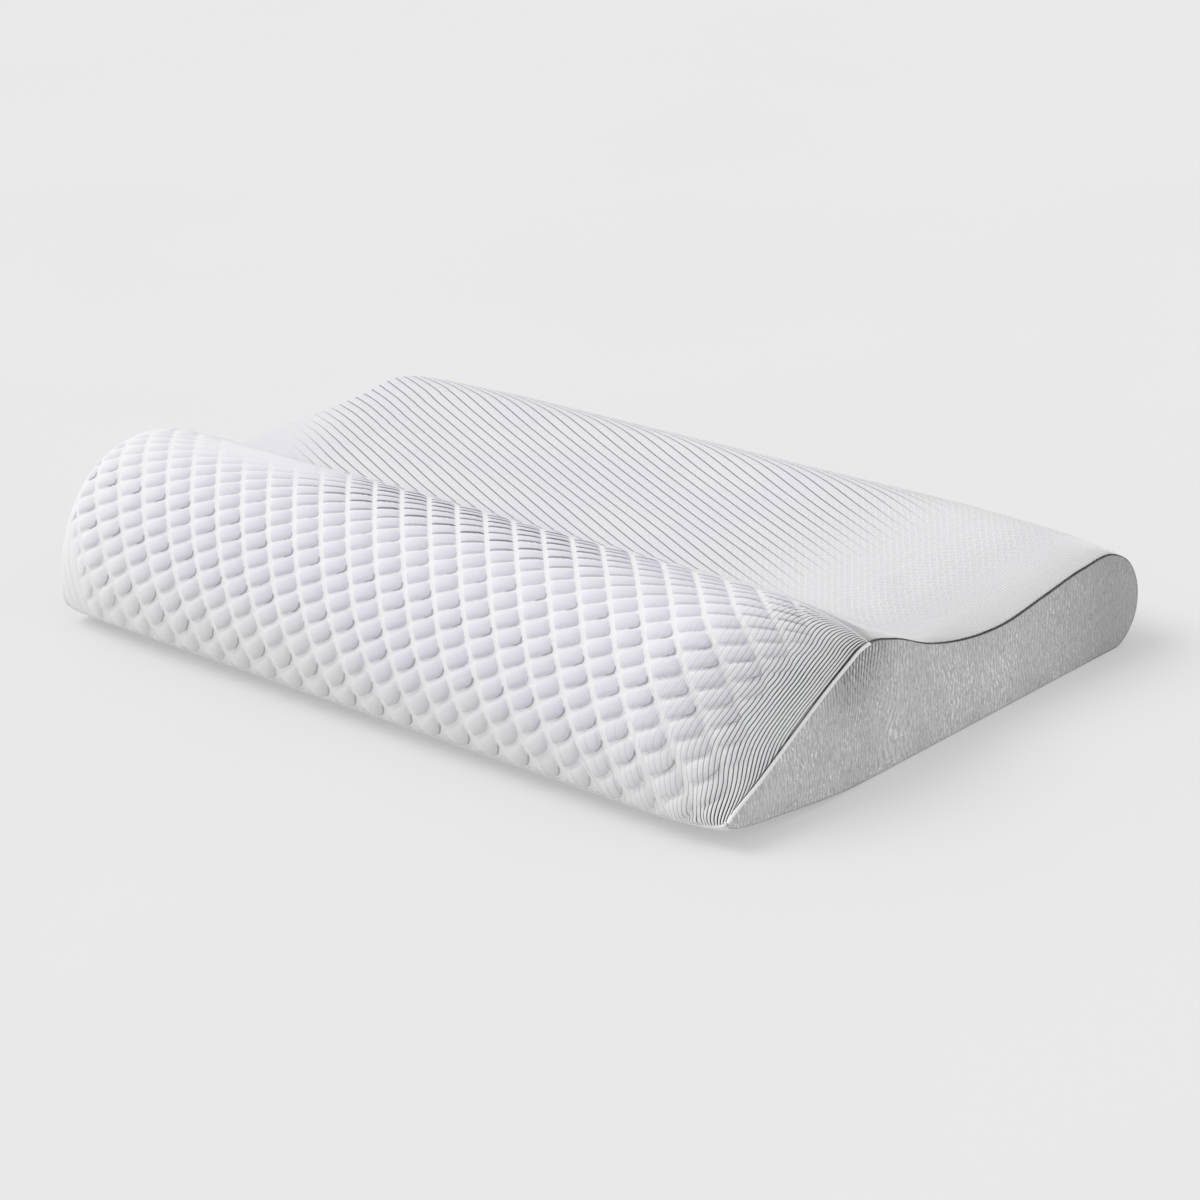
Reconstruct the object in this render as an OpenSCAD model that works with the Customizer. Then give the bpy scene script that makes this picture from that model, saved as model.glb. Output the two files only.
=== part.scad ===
// Contour bed pillow: a shaped foam core in a thin liner and a zipped, padded knit cover.
// Frame: X along the pillow, -Y towards the tall lobe, +Z up; origin under its middle.

/* [Size] */
// Length between the outer faces of the two end panels
length = 600; // [560:5:620]
// Depth of the cover from its front to its back
depth = 392; // [380:2:420]
// Height of the tall front lobe
front_h = 117; // [110:1:122]
// Height of the low back lobe
back_h = 87; // [84:1:92]
// Height of the neck valley between the lobes
valley_h = 83; // [76:1:84]

/* [Ends] */
// Height of the right end seam at its front crest
end_front_h = 83; // [78:1:90]
// Height of the right end seam over the valley
end_valley_h = 53; // [50:1:58]
// Height of the right end seam over the back lobe
end_back_h = 62.5; // [60:0.5:68]
// Length over which the tall lobe rounds down to the right end seam
end_round = 60; // [50:2:70]
// Part of that drop which the fuller left end has, at the toe
left_drop = 0.25; // [0.15:0.05:0.5]

/* [Cover] */
// Thickness of the double-knit cover
cover_t = 2.6; // [2:0.1:3]
// Thickness of an end panel and width of its seam
end_t = 2.6; // [2:0.1:3]
// How far piping and binding stand out of the cover
piping_proud = 1.2; // [0.8:0.1:1.6]
// How far piping reaches in over the end panel
piping_in = 1.8; // [1.4:0.1:2.2]
// Width of the toe binding and of the crest seam
seam_w = 2.4; // [2:0.2:3]
// Clearance between a seam and the panel beside it
seam_gap = 0.06; // [0.05:0.01:0.1]

/* [Core] */
// Thickness of the inner liner
liner_t = 1; // [0.8:0.1:1.4]
// Clearance between one layer and the next
layer_gap = 0.5; // [0.4:0.1:0.8]

/* [Zip] */
// Length of the zip opening in the back
zip_l = 460; // [400:2:466]
// Height of the middle of the zip above the bed
zip_z = 35; // [34:0.5:36]
// Width of the gap between the two cover edges
zip_gap_w = 11.6; // [11.2:0.2:12.4]
// Width of each zip tape
tape_w = 12; // [11:0.5:13]
// Thickness of each zip tape
tape_t = 0.6; // [0.5:0.1:0.7]
// Radius of each coil
coil_r = 1.1; // [1:0.05:1.15]
// Length of the slider body
slider_l = 14; // [12:0.5:15]
// Width of the slider body
slider_w = 10.4; // [10:0.1:10.6]
// Length of the pull tab from its pivot
tab_l = 25; // [20:1:30]
// Pitch of the stitches along the zip
stitch_pitch = 6; // [5:0.5:8]

/* [Hidden] */
$fn = 48;

// Slider: plates, arch and clearances
plate_t = 1.2;
run_gap = 0.4;
arch_room = 2;
arch_t = 1;
zip_proud = 2 * coil_r + run_gap - cover_t + plate_t + arch_room + arch_t;
half_d = depth / 2;
y_shift = -zip_proud / 2;
y_back = half_d + y_shift;
x_end = length / 2 - end_t;

// Seam positions along the outline, counted in key points
toe_key = 2;
crest_key = 8;
zip_key = 17.5;
last_key = 20;

// Outline of the middle, from the bed at the front over the top to the bed at the back
mid_keys = [
    [-0.78 * half_d, 0],
    [-0.88 * half_d, 0.02 * front_h],
    [-0.95 * half_d, 0.08 * front_h],
    [-half_d, 0.34 * front_h],
    [-0.955 * half_d, 0.66 * front_h],
    [-0.86 * half_d, 0.875 * front_h],
    [-0.72 * half_d, 0.985 * front_h],
    [-0.59 * half_d, front_h],
    [-0.46 * half_d, 0.96 * front_h],
    [-0.36 * half_d, 1.20 * valley_h],
    [-0.245 * half_d, 1.03 * valley_h],
    [0.02 * half_d, valley_h],
    [0.25 * half_d, 1.005 * valley_h],
    [0.44 * half_d, 0.975 * back_h],
    [0.60 * half_d, back_h],
    [0.745 * half_d, 0.905 * back_h],
    [0.90 * half_d, 0.725 * back_h],
    [half_d, zip_z + 16],
    [half_d, zip_z - 17],
    [0.955 * half_d, 0.05 * back_h],
    [0.82 * half_d, 0]
];

// Outline of the right end seam, point for point with the middle
right_keys = [
    [-0.34 * half_d, 0],
    [-0.62 * half_d, 0.05 * end_front_h],
    [-0.95 * half_d, 0.225 * end_front_h],
    [-0.80 * half_d, 0.42 * end_front_h],
    [-0.63 * half_d, 0.65 * end_front_h],
    [-0.50 * half_d, 0.82 * end_front_h],
    [-0.41 * half_d, 0.925 * end_front_h],
    [-0.36 * half_d, 0.98 * end_front_h],
    [-0.315 * half_d, end_front_h],
    [-0.20 * half_d, 1.47 * end_valley_h],
    [-0.04 * half_d, 1.21 * end_valley_h],
    [0.14 * half_d, 1.045 * end_valley_h],
    [0.30 * half_d, end_valley_h],
    [0.50 * half_d, 0.92 * end_back_h],
    [0.70 * half_d, end_back_h],
    [0.86 * half_d, 0.99 * end_back_h],
    [0.93 * half_d, 0.86 * end_back_h],
    [0.975 * half_d, 0.59 * end_back_h],
    [0.965 * half_d, 0.27 * end_back_h],
    [0.89 * half_d, 0.03 * end_back_h],
    [0.78 * half_d, 0]
];

// The left end drops less: this is its share of the right end's drop along the outline
function left_share(k) = left_drop * lookup(k, [
    [0, 1], [5, 1], [7, 0.85], [9, 1.4], [11, 0.4], [14, 0.4], [last_key, 1.2]
]);
left_keys = [
    for (i = [0 : last_key]) mid_keys[i] + left_share(i) * (right_keys[i] - mid_keys[i])
];

// Length over which an end rounds down, along the outline
function reach(k, side) = end_round * (side > 0
    ? lookup(k, [[0, 1], [4, 1.03], [8, 0.7], [12, 0.67], [last_key, 0.75]])
    : lookup(k, [
        [0, 0.42], [4, 0.58], [8, 1.16], [10, 0.83], [13, 0.42], [last_key, 0.5]
    ]));

// Direction of the curve at a key point; it leaves and meets the bed flat
function turn(keys, i) =
    i == 0 || i == last_key ? [-1, 0] :
    let (a = keys[i] - keys[i - 1], b = keys[i + 1] - keys[i], la = norm(a), lb = norm(b))
    (lb * a / la + la * b / lb) / (la + lb);

// Point of one outline at a position between key points
function curve(keys, k) =
    let (i = min(floor(k), last_key - 1), u = k - i, d = norm(keys[i + 1] - keys[i]))
    (2 * pow(u, 3) - 3 * pow(u, 2) + 1) * keys[i]
    + (pow(u, 3) - 2 * pow(u, 2) + u) * d * turn(keys, i)
    + (3 * pow(u, 2) - 2 * pow(u, 3)) * keys[i + 1]
    + (pow(u, 3) - pow(u, 2)) * d * turn(keys, i + 1);

// Positions past the last key start again at the first one, across the flat underside
function wrapped(k) = k > last_key ? k - last_key - 1 : k;

// Sections along X are angles: -90 and 90 are the end seams, -0.1 to 0.1 the middle stretch
mid_angle = 0.1;
round_steps = 6;
sections = [
    for (side = [-1, 1], j = [0 : round_steps])
    side * max(mid_angle, 90 * (side < 0 ? round_steps - j : j) / round_steps)
];
last_section = len(sections) - 1;

// How far a section is along its way from the middle (0) to the end seam (1)
function blend(angle) = abs(angle) > mid_angle ? 1 - cos(angle) : 0;

// Outline point at a position, in the section at an angle
function outline(k, angle) =
    let (
        w = wrapped(k), b = blend(angle),
        p = (1 - b) * curve(mid_keys, w) + b * curve(angle > 0 ? right_keys : left_keys, w)
    )
    [min(p[0], half_d) + y_shift, max(p[1], 0)];

// Place along X of a position in a section
function place(k, angle) =
    let (r = reach(wrapped(k), angle), a = abs(angle) > mid_angle ? abs(angle) : 0)
    sign(angle) * (x_end - r + r * sin(a));

// Outline point moved inwards by a distance, or outwards by a negative one
function inset(k, angle, d, back = y_back + 1) =
    let (
        w = wrapped(k), step = 0.02,
        along = outline(min(w + step, last_key), angle) - outline(max(w - step, 0), angle),
        p = outline(w, angle) + d * [along[1], -along[0]] / norm(along)
    )
    [min(p[0], back), max(p[1], 0)];

function moved(x, d) = x - sign(x) * d;

// Positions from one to another, at each key point and two between
function span(a, b) = concat(
    [a], [for (i = [ceil(3 * a + 0.3) : floor(3 * b - 0.3)]) i / 3], [b]
);

// Half of a seam's width at the toe and at the crest, in key positions, and its clearance
toe_step = norm(mid_keys[toe_key + 1] - mid_keys[toe_key]);
crest_step = norm(mid_keys[crest_key + 1] - mid_keys[crest_key]);
toe_e = seam_w / 2 / toe_step;
toe_far = (seam_w / 2 + seam_gap) / toe_step;
crest_e = seam_w / 2 / crest_step;
crest_far = (seam_w / 2 + seam_gap) / crest_step;

// Rows of a skin: one point for each position in every section
function skin_points(ks, d, x_move, flush, back = y_back + 1) = [
    for (s = [0 : last_section], k = ks)
    let (
        ends = s == 0 || s == last_section,
        p = inset(k, sections[s], d, back)
    )
    [moved(place(k, sections[s]), flush && ends ? 0 : x_move), p[0], p[1]]
];

// Two triangles for each cell of a grid of points, so that both sides of a seam agree
function grid_faces(n, first, flip, closed) = [
    for (s = [0 : last_section - 1], i = [0 : n - (closed ? 1 : 2)])
    let (
        a = first + s * n + i, b = first + s * n + (i + 1) % n, c = b + n, d = a + n
    )
    each flip ? [[a, b, c], [a, c, d]] : [[a, c, b], [a, d, c]]
];

// The face between two skins at one section
function rim_faces(n, first, second, flip, closed) = [
    for (i = [0 : n - (closed ? 1 : 2)])
    let (a = first + i, b = first + (i + 1) % n, c = second + (i + 1) % n, d = second + i)
    each flip ? [[a, b, c], [a, c, d]] : [[a, c, b], [a, d, c]]
];

// The face between two skins along one edge that runs the whole length
function edge_faces(n, i, second, flip) = [
    for (s = [0 : last_section - 1])
    let (a = s * n + i, b = a + n, c = second + b, d = second + a)
    each flip ? [[a, b, c], [a, c, d]] : [[a, c, b], [a, d, c]]
];

// A band of cloth between two skins, over the given positions of the outline
module band(ks, d_out, d_in, x_move) {
    n = len(ks);
    all = n * (last_section + 1);
    points = concat(
        skin_points(ks, d_out, 0, true), skin_points(ks, d_in, x_move, true)
    );
    polyhedron(points, concat(
        grid_faces(n, 0, true, false), grid_faces(n, all, false, false),
        rim_faces(n, 0, all, false, false),
        rim_faces(n, last_section * n, all + last_section * n, true, false),
        edge_faces(n, 0, all, true), edge_faces(n, n - 1, all, false)
    ));
}

// All positions of the outline, once round
loop_ks = span(0, last_key);

// A closed body inside the outline, solid from end to end
module body(d, back) {
    n = len(loop_ks);
    all = n * (last_section + 1);
    skin = skin_points(loop_ks, d, d, false, back);
    middle = [y_shift + 0.1 * half_d, 0.55 * end_valley_h];
    ends = [
        for (side = [-1, 1]) [side * (x_end - d), middle[0], middle[1]]
    ];
    polyhedron(concat(skin, ends), concat(
        grid_faces(n, 0, true, true),
        [for (i = [0 : n - 1]) [(i + 1) % n, i, all]],
        [for (i = [0 : n - 1]) let (f = last_section * n) [f + i, f + (i + 1) % n, all + 1]]
    ));
}

// A sleeve inside the outline, open at both ends
module sleeve(d, t, back) {
    n = len(loop_ks);
    all = n * (last_section + 1);
    points = concat(
        skin_points(loop_ks, d, d, false, back),
        skin_points(loop_ks, d + t, d, false, back - t)
    );
    polyhedron(points, concat(
        grid_faces(n, 0, true, true), grid_faces(n, all, false, true),
        rim_faces(n, 0, all, false, true),
        rim_faces(n, last_section * n, all + last_section * n, true, true)
    ));
}

// A flat plate at an end, from an outline in the Y-Z plane
module end_plate(x, t, points) {
    translate([x, 0, 0]) rotate([90, 0, 90]) linear_extrude(t) polygon(points);
}

// An end seam's outline over some positions, between two insets
function end_strip(side, ks, d_out, d_in) = concat(
    [for (k = ks) inset(k, side * 90, d_out)],
    [for (i = [len(ks) - 1 : -1 : 0]) inset(ks[i], side * 90, d_in)]
);

// --- Core and liner ---

liner_d = cover_t + layer_gap;
core_d = liner_d + liner_t + layer_gap;
liner_back = y_back - cover_t - tape_t - 2 * run_gap - plate_t - layer_gap;
core_back = liner_back - liner_t - layer_gap;

module foam_core() {
    color([0.93, 0.91, 0.84]) body(core_d, core_back);
}

module liner_sleeve() {
    color([0.97, 0.97, 0.96]) sleeve(liner_d, liner_t, liner_back);
}

module liner_end(side) {
    x = side * (x_end - liner_d) - (side > 0 ? 0 : liner_t);
    color([0.97, 0.97, 0.96])
    end_plate(x, liner_t, [for (k = loop_ks) inset(k, side * 90, liner_d, liner_back)]);
}

module liner_left_end() { liner_end(-1); }
module liner_right_end() { liner_end(1); }

// --- Cover panels ---

module zip_window() {
    translate([-zip_l / 2, y_back - 3 * cover_t, zip_z - zip_gap_w / 2])
    cube([zip_l, 6 * cover_t, zip_gap_w]);
}

module front_panel() {
    color([0.93, 0.93, 0.95])
    band(span(toe_key + toe_far, crest_key - crest_far), 0, cover_t, cover_t);
}

module crest_seam() {
    color([0.9, 0.9, 0.93])
    band(span(crest_key - crest_e, crest_key + crest_e), 0, cover_t, cover_t);
}

module top_panel() {
    color([0.91, 0.91, 0.94]) difference() {
        band(span(crest_key + crest_far, zip_key), 0, cover_t, cover_t);
        zip_window();
    }
}

module bottom_panel() {
    color([0.88, 0.88, 0.89]) difference() {
        band(concat(
            span(zip_key, last_key), span(last_key + 1, last_key + 1 + toe_key - toe_far)
        ), 0, cover_t, cover_t);
        zip_window();
        label_root();
    }
}

module toe_binding() {
    color([0.97, 0.97, 0.98])
    band(span(toe_key - toe_e, toe_key + toe_e), -piping_proud, cover_t, cover_t);
}

// --- Ends ---

module end_panel(side) {
    color([0.66, 0.66, 0.67])
    end_plate(side > 0 ? x_end : -x_end - end_t, end_t,
        [for (k = loop_ks) inset(k, side * 90, piping_in)]);
}

module left_end_panel() { end_panel(-1); }
module right_end_panel() { end_panel(1); }

module piping(side) {
    color([0.97, 0.97, 0.98])
    end_plate(side > 0 ? x_end : -x_end - end_t, end_t,
        end_strip(side, span(toe_key, crest_key), -piping_proud, piping_in));
}

module left_piping() { piping(-1); }
module right_piping() { piping(1); }

module end_seam(side) {
    color([0.35, 0.35, 0.37])
    end_plate(side > 0 ? x_end : -x_end - end_t, end_t,
        end_strip(side, concat(
            span(crest_key, last_key), span(last_key + 1, last_key + 1 + toe_key)
        ), 0, piping_in));
}

module left_end_seam() { end_seam(-1); }
module right_end_seam() { end_seam(1); }

label_w = 26;
label_h = 26;
label_t = 0.4;
label_x = -266;
label_drop = 2;

// The label's top edge, caught in the back of the cover just under the zip's line
module label_root() {
    translate([label_x, y_back - cover_t - 1, zip_z - label_drop - label_t])
    cube([label_w, cover_t + 1 + label_t, label_t]);
}

module care_label() {
    color([0.95, 0.95, 0.95]) {
        label_root();
        translate([label_x, y_back, zip_z - label_h]) cube([label_w, label_t, label_h - label_drop]);
    }
}

// --- Zip ---

tape_y = y_back - cover_t - tape_t;
tape_gap = 0.9;
coil_y = y_back - cover_t + coil_r;
coil_z = 1.7;
plate_y = coil_y + coil_r + run_gap;
end_room = 3;
stop_l = 3;

// One tape; side is 1 above the middle of the zip and -1 below it
module tape(side) {
    color([0.96, 0.96, 0.97])
    translate([-zip_l / 2 - end_room, tape_y, zip_z + (side > 0 ? tape_gap : -tape_gap - tape_w)])
    cube([zip_l + 2 * end_room, tape_t, tape_w]);
}

module coil(side) {
    color([0.9, 0.9, 0.92])
    translate([-zip_l / 2, coil_y, zip_z + side * coil_z])
    rotate([0, 90, 0]) cylinder(h = zip_l, r = coil_r);
}

stitch_l = 4;
stitch_t = 0.4;
stitch_out = 3;

// A row of stitches through the cover and the tape
module stitches(side) {
    count = floor(zip_l / stitch_pitch);
    color([0.98, 0.98, 0.98])
    for (i = [0 : count - 1])
        translate([
            (i - (count - 1) / 2) * stitch_pitch - stitch_l / 2, y_back,
            zip_z + side * (zip_gap_w / 2 + stitch_out) - stitch_t / 2
        ])
        cube([stitch_l, stitch_t, stitch_t]);
}

module zip_tape_upper() { tape(1); }
module zip_tape_lower() { tape(-1); }
module zip_coil_upper() { coil(1); }
module zip_coil_lower() { coil(-1); }
module zip_thread_upper() { stitches(1); }
module zip_thread_lower() { stitches(-1); }

// A clip on the coils whose heights are given; x and z are its middle
module stop_block(x, z, w, coils) {
    difference() {
        translate([x - stop_l / 2, y_back - cover_t, z - w / 2])
        cube([stop_l, 2 * coil_r + run_gap, w]);
        for (c = coils) translate([x - stop_l, coil_y, c]) {
            rotate([0, 90, 0]) cylinder(h = 2 * stop_l, r = coil_r);
            translate([0, -2 * coil_r, -coil_r]) cube([2 * stop_l, 2 * coil_r, 2 * coil_r]);
        }
    }
}

top_stop_x = zip_l / 2 - stop_l / 2;
top_stop_w = 3;
bottom_stop_w = 7.2;

module zip_top_stops() {
    color([0.78, 0.79, 0.8])
    for (side = [-1, 1])
        stop_block(top_stop_x, zip_z + side * coil_z, top_stop_w, [zip_z + side * coil_z]);
}

module zip_bottom_stop() {
    color([0.78, 0.79, 0.8])
    stop_block(-top_stop_x, zip_z, bottom_stop_w, [zip_z - coil_z, zip_z + coil_z]);
}

// Slider at the closed end of its travel; its middle is at slider_x
slider_x = top_stop_x - stop_l / 2 - slider_l / 2 - run_gap;
inner_y = tape_y - run_gap - plate_t;
flange_t = 1.1;
divider_t = 0.5;
divider_l = 3;
arch_w = 2.4;
arch_in = 4.4;
pin_r = 0.6;
pin_y = plate_y + plate_t + arch_room / 2;

// A slider plate with a pointed nose towards the open side and rounded tail corners
module slider_plate(y) {
    nose = 3;
    corner = 2;
    translate([slider_x, y + plate_t, zip_z]) rotate([90, 0, 0]) linear_extrude(plate_t)
    union() {
        translate([-slider_l / 2 + corner, -slider_w / 2])
        square([slider_l - corner - nose, slider_w]);
        translate([-slider_l / 2, -slider_w / 2 + corner])
        square([corner, slider_w - 2 * corner]);
        for (s = [-1, 1]) translate([-slider_l / 2 + corner, s * (slider_w / 2 - corner)])
            circle(r = corner);
        polygon([
            [slider_l / 2 - nose, -slider_w / 2], [slider_l / 2, -slider_w / 4],
            [slider_l / 2, slider_w / 4], [slider_l / 2 - nose, slider_w / 2]
        ]);
    }
}

module zip_slider() {
    color([0.8, 0.81, 0.82]) {
        slider_plate(plate_y);
        slider_plate(inner_y);
        for (s = [-1, 1])
            translate([slider_x - slider_l / 2 + 2, 0,
                zip_z + s * (slider_w - flange_t) / 2 - flange_t / 2]) {
                flange_d = plate_y - (tape_y + tape_t + run_gap);
                translate([0, plate_y - flange_d, 0])
                cube([slider_l - 6, flange_d + plate_t / 2, flange_t]);
            }
        translate([slider_x + slider_l / 2 - divider_l - 1, inner_y + plate_t / 2,
            zip_z - divider_t / 2])
        cube([divider_l, plate_y - inner_y, divider_t]);
        translate([slider_x - arch_in / 2 - arch_t, plate_y + plate_t / 2, zip_z - arch_w / 2])
        difference() {
            cube([arch_in + 2 * arch_t, plate_t / 2 + arch_room + arch_t, arch_w]);
            translate([arch_t, plate_t / 2, -1]) cube([arch_in, arch_room, arch_w + 2]);
        }
    }
}

tab_w = 8;
tab_t = 1.2;
arm_in = 3.6;
arm_out = 6;
arm_l = 6;

// Pull tab lying flat along the closed zip, with its cross pin under the slider's arch
module zip_pull_tab() {
    color([0.8, 0.81, 0.82]) translate([slider_x, pin_y, zip_z]) {
        cylinder(h = arm_out, r = pin_r, center = true);
        for (s = [-1, 1]) translate([-arm_l, -tab_t / 2, s > 0 ? arm_in / 2 : -arm_out / 2])
            cube([arm_l, tab_t, (arm_out - arm_in) / 2]);
        rotate([90, 0, 0]) linear_extrude(tab_t, center = true) difference() {
            union() {
                translate([-tab_l + tab_w / 2, -tab_w / 2])
                square([tab_l - tab_w / 2 - arm_l + 1, tab_w]);
                translate([-tab_l + tab_w / 2, 0]) circle(d = tab_w);
            }
            translate([-tab_l + tab_w / 2, 0]) circle(d = tab_w / 2.5);
        }
    }
}

foam_core();
liner_sleeve();
liner_left_end();
liner_right_end();
front_panel();
crest_seam();
top_panel();
bottom_panel();
toe_binding();
left_end_panel();
right_end_panel();
left_piping();
right_piping();
left_end_seam();
right_end_seam();
care_label();
zip_tape_upper();
zip_tape_lower();
zip_coil_upper();
zip_coil_lower();
zip_thread_upper();
zip_thread_lower();
zip_top_stops();
zip_bottom_stop();
zip_slider();
zip_pull_tab();
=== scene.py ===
"""Contour bed pillow: detailed cloth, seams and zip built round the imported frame, in metres."""
import functools
import math

import bpy
import numpy as np
from mathutils import Matrix, Vector


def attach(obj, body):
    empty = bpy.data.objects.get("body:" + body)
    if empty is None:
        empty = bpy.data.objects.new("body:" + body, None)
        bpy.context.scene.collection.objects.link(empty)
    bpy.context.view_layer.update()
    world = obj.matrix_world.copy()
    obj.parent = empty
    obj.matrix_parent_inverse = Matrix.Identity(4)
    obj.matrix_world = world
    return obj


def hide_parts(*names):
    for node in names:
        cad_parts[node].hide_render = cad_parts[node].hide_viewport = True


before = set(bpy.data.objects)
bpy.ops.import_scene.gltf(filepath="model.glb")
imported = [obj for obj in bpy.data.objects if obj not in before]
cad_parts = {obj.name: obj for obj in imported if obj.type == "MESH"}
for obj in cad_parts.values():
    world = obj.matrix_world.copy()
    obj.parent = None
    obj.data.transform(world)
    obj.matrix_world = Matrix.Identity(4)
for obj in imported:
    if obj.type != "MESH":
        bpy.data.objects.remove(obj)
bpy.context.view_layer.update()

MM = 0.001

# ---- outline, as in the CAD source

LENGTH, HALF_D, Y_SHIFT = 600.0, 196.0, -2.1
FRONT_H, BACK_H, VALLEY_H, ZIP_Z = 117.0, 87.0, 83.0, 35.0
END_FRONT_H, END_VALLEY_H, END_BACK_H = 83.0, 53.0, 62.5
END_T, COVER_T, END_ROUND, LEFT_DROP = 2.6, 2.6, 60.0, 0.25
X_END = LENGTH / 2 - END_T
Y_BACK = HALF_D + Y_SHIFT
TOE, CREST, ZIP, LAST = 2.0, 8.0, 17.5, 20
LEFT_TURN, STRAIGHT, RIGHT_TURN = 80, 490, 92  # lengths that set how many sections there are
UV_SCALE, UV_ROUND = .01, 8  # UV units per mm of cloth; mm of cloth counted round a strand


def outline_keys():
    """Key points (y, z) of the middle, the right end seam and the left end seam, in mm."""
    f, v, b = FRONT_H, VALLEY_H, BACK_H
    middle = np.array([
        (-.78, 0), (-.88, .02 * f), (-.95, .08 * f), (-1, .34 * f), (-.955, .66 * f),
        (-.86, .875 * f), (-.72, .985 * f), (-.59, f), (-.46, .96 * f), (-.36, 1.20 * v),
        (-.245, 1.03 * v), (.02, v), (.25, 1.005 * v), (.44, .975 * b), (.60, b),
        (.745, .905 * b), (.90, .725 * b), (1, ZIP_Z + 16), (1, ZIP_Z - 17),
        (.955, .05 * b), (.82, 0)])
    f, v, b = END_FRONT_H, END_VALLEY_H, END_BACK_H
    right = np.array([
        (-.34, 0), (-.62, .05 * f), (-.95, .225 * f), (-.80, .42 * f), (-.63, .65 * f),
        (-.50, .82 * f), (-.41, .925 * f), (-.36, .98 * f), (-.315, f), (-.20, 1.47 * v),
        (-.04, 1.21 * v), (.14, 1.045 * v), (.30, v), (.50, .92 * b), (.70, b),
        (.86, .99 * b), (.93, .86 * b), (.975, .59 * b), (.965, .27 * b),
        (.89, .03 * b), (.78, 0)])
    middle[:, 0] *= HALF_D
    right[:, 0] *= HALF_D
    share = LEFT_DROP * np.interp(
        np.arange(LAST + 1), [0, 1, 5, 7, 9, 11, 14, LAST], [1, 1, 1, .85, 1.4, .4, .4, 1.2])
    return middle, right, middle + share[:, None] * (right - middle)


MIDDLE, RIGHT, LEFT = outline_keys()


def wrap(k):
    """Positions with those past LAST + 1 carried on from 0."""
    return np.where(k > LAST + 1, k - LAST - 1, k)


def curve(keys, k):
    """Points of one outline at positions k between its key points, from 0 round to 21."""
    k = wrap(k)
    turn = np.zeros_like(keys)
    turn[0] = turn[-1] = (-1, 0)
    a, b = keys[1:-1] - keys[:-2], keys[2:] - keys[1:-1]
    la, lb = np.linalg.norm(a, axis=1)[:, None], np.linalg.norm(b, axis=1)[:, None]
    turn[1:-1] = (lb * a / la + la * b / lb) / (la + lb)
    i = np.clip(k.astype(int), 0, LAST - 1)
    u = (np.clip(k, 0, LAST) - i)[..., None]
    d = np.linalg.norm(keys[i + 1] - keys[i], axis=-1)[..., None]
    p = ((2 * u**3 - 3 * u**2 + 1) * keys[i] + (u**3 - 2 * u**2 + u) * d * turn[i]
         + (3 * u**2 - 2 * u**3) * keys[i + 1] + (u**3 - u**2) * d * turn[i + 1])
    under = np.clip(k - LAST, 0, 1)[..., None]
    return np.where(under > 0, keys[LAST] * (1 - under) + keys[0] * under, p)


RIGHT_REACH = ((0, 4, 8, 12, LAST, LAST + 1), (1, 1.03, .7, .67, .75, 1))
LEFT_REACH = ((0, 4, 8, 10, 13, LAST, LAST + 1), (.42, .58, 1.16, .83, .42, .5, .42))


def reach(k, side):
    """Length over which an end rounds down, in mm, at positions k."""
    return END_ROUND * np.interp(wrap(k), *(RIGHT_REACH if side > 0 else LEFT_REACH))


def outline(k, t):
    """Outline (y, z) at positions k in section t: -2 and 2 are the end seams, -1 to 1 the middle."""
    w = 1 - math.cos(math.radians(90 * max(abs(t) - 1, 0)))
    p = (1 - w) * curve(MIDDLE, k) + w * curve(RIGHT if t > 0 else LEFT, k)
    return np.stack([np.minimum(p[..., 0], HALF_D) + Y_SHIFT, np.maximum(p[..., 1], 0)], -1)


def place(k, t):
    """Place x of positions k in section t."""
    r = reach(k, t)
    if abs(t) <= 1:
        return t * (X_END - r)
    return math.copysign(1, t) * (X_END - r + r * math.sin(math.radians(90 * (abs(t) - 1))))


def inset(k, t, d, back=Y_BACK + 1):
    """Outline points moved inwards by a distance, or outwards by a negative one."""
    along = outline(np.minimum(k + .02, LAST + 1 + TOE), t) - outline(np.maximum(k - .02, 0), t)
    n = np.stack([along[:, 1], -along[:, 0]], -1)
    p = outline(k, t) + d * n / np.linalg.norm(n, axis=1)[:, None]
    return np.stack([np.minimum(p[:, 0], back), np.maximum(p[:, 1], 0)], -1)


def skin(ts, ks, inward=0.0, back=Y_BACK + 1):
    """The cover's outer face, (sections, positions, 3) in mm, moved inwards by a distance.
    The positions may differ from section to section."""
    ks = np.broadcast_to(np.asarray(ks, float), (len(ts), np.shape(ks)[-1]))
    out = np.zeros(ks.shape + (3,))
    for i, t in enumerate(ts):
        x = place(ks[i], t)
        out[i, :, 0] = x - np.sign(x) * inward
        out[i, :, 1:] = inset(ks[i], t, inward, back) if inward else outline(ks[i], t)
    return out


def run(path):
    """Distance of each point of a path from its start, along it."""
    return np.concatenate([[0], np.cumsum(np.linalg.norm(np.diff(path, axis=0), axis=1))])


def normals(p):
    """Unit normals of a grid of points, outward on the cover."""
    n = np.cross(np.gradient(p, axis=0), np.gradient(p, axis=1))
    return n / np.maximum(np.linalg.norm(n, axis=2), 1e-9)[..., None]


def smooth(x, a, b):
    """A soft step from 0 at a to 1 at b."""
    x = np.clip((x - a) / (b - a), 0, 1)
    return x * x * (3 - 2 * x)


def fade(x, length, power=2):
    """1 at zero, falling off over a length."""
    return np.exp(-(x / length) ** power)


def sections(pitch, fine_pitch=None):
    """Sections from the left end seam to the right one, about pitch apart, finer near the right."""
    left = -1 - np.linspace(1, 0, max(8, round(LEFT_TURN / pitch)))
    mid = np.linspace(-1, 1, round(STRAIGHT / pitch))
    right = 1 + np.linspace(0, 1, round(RIGHT_TURN / (fine_pitch or pitch)))
    return np.concatenate([left, mid[1:-1], right])


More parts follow.
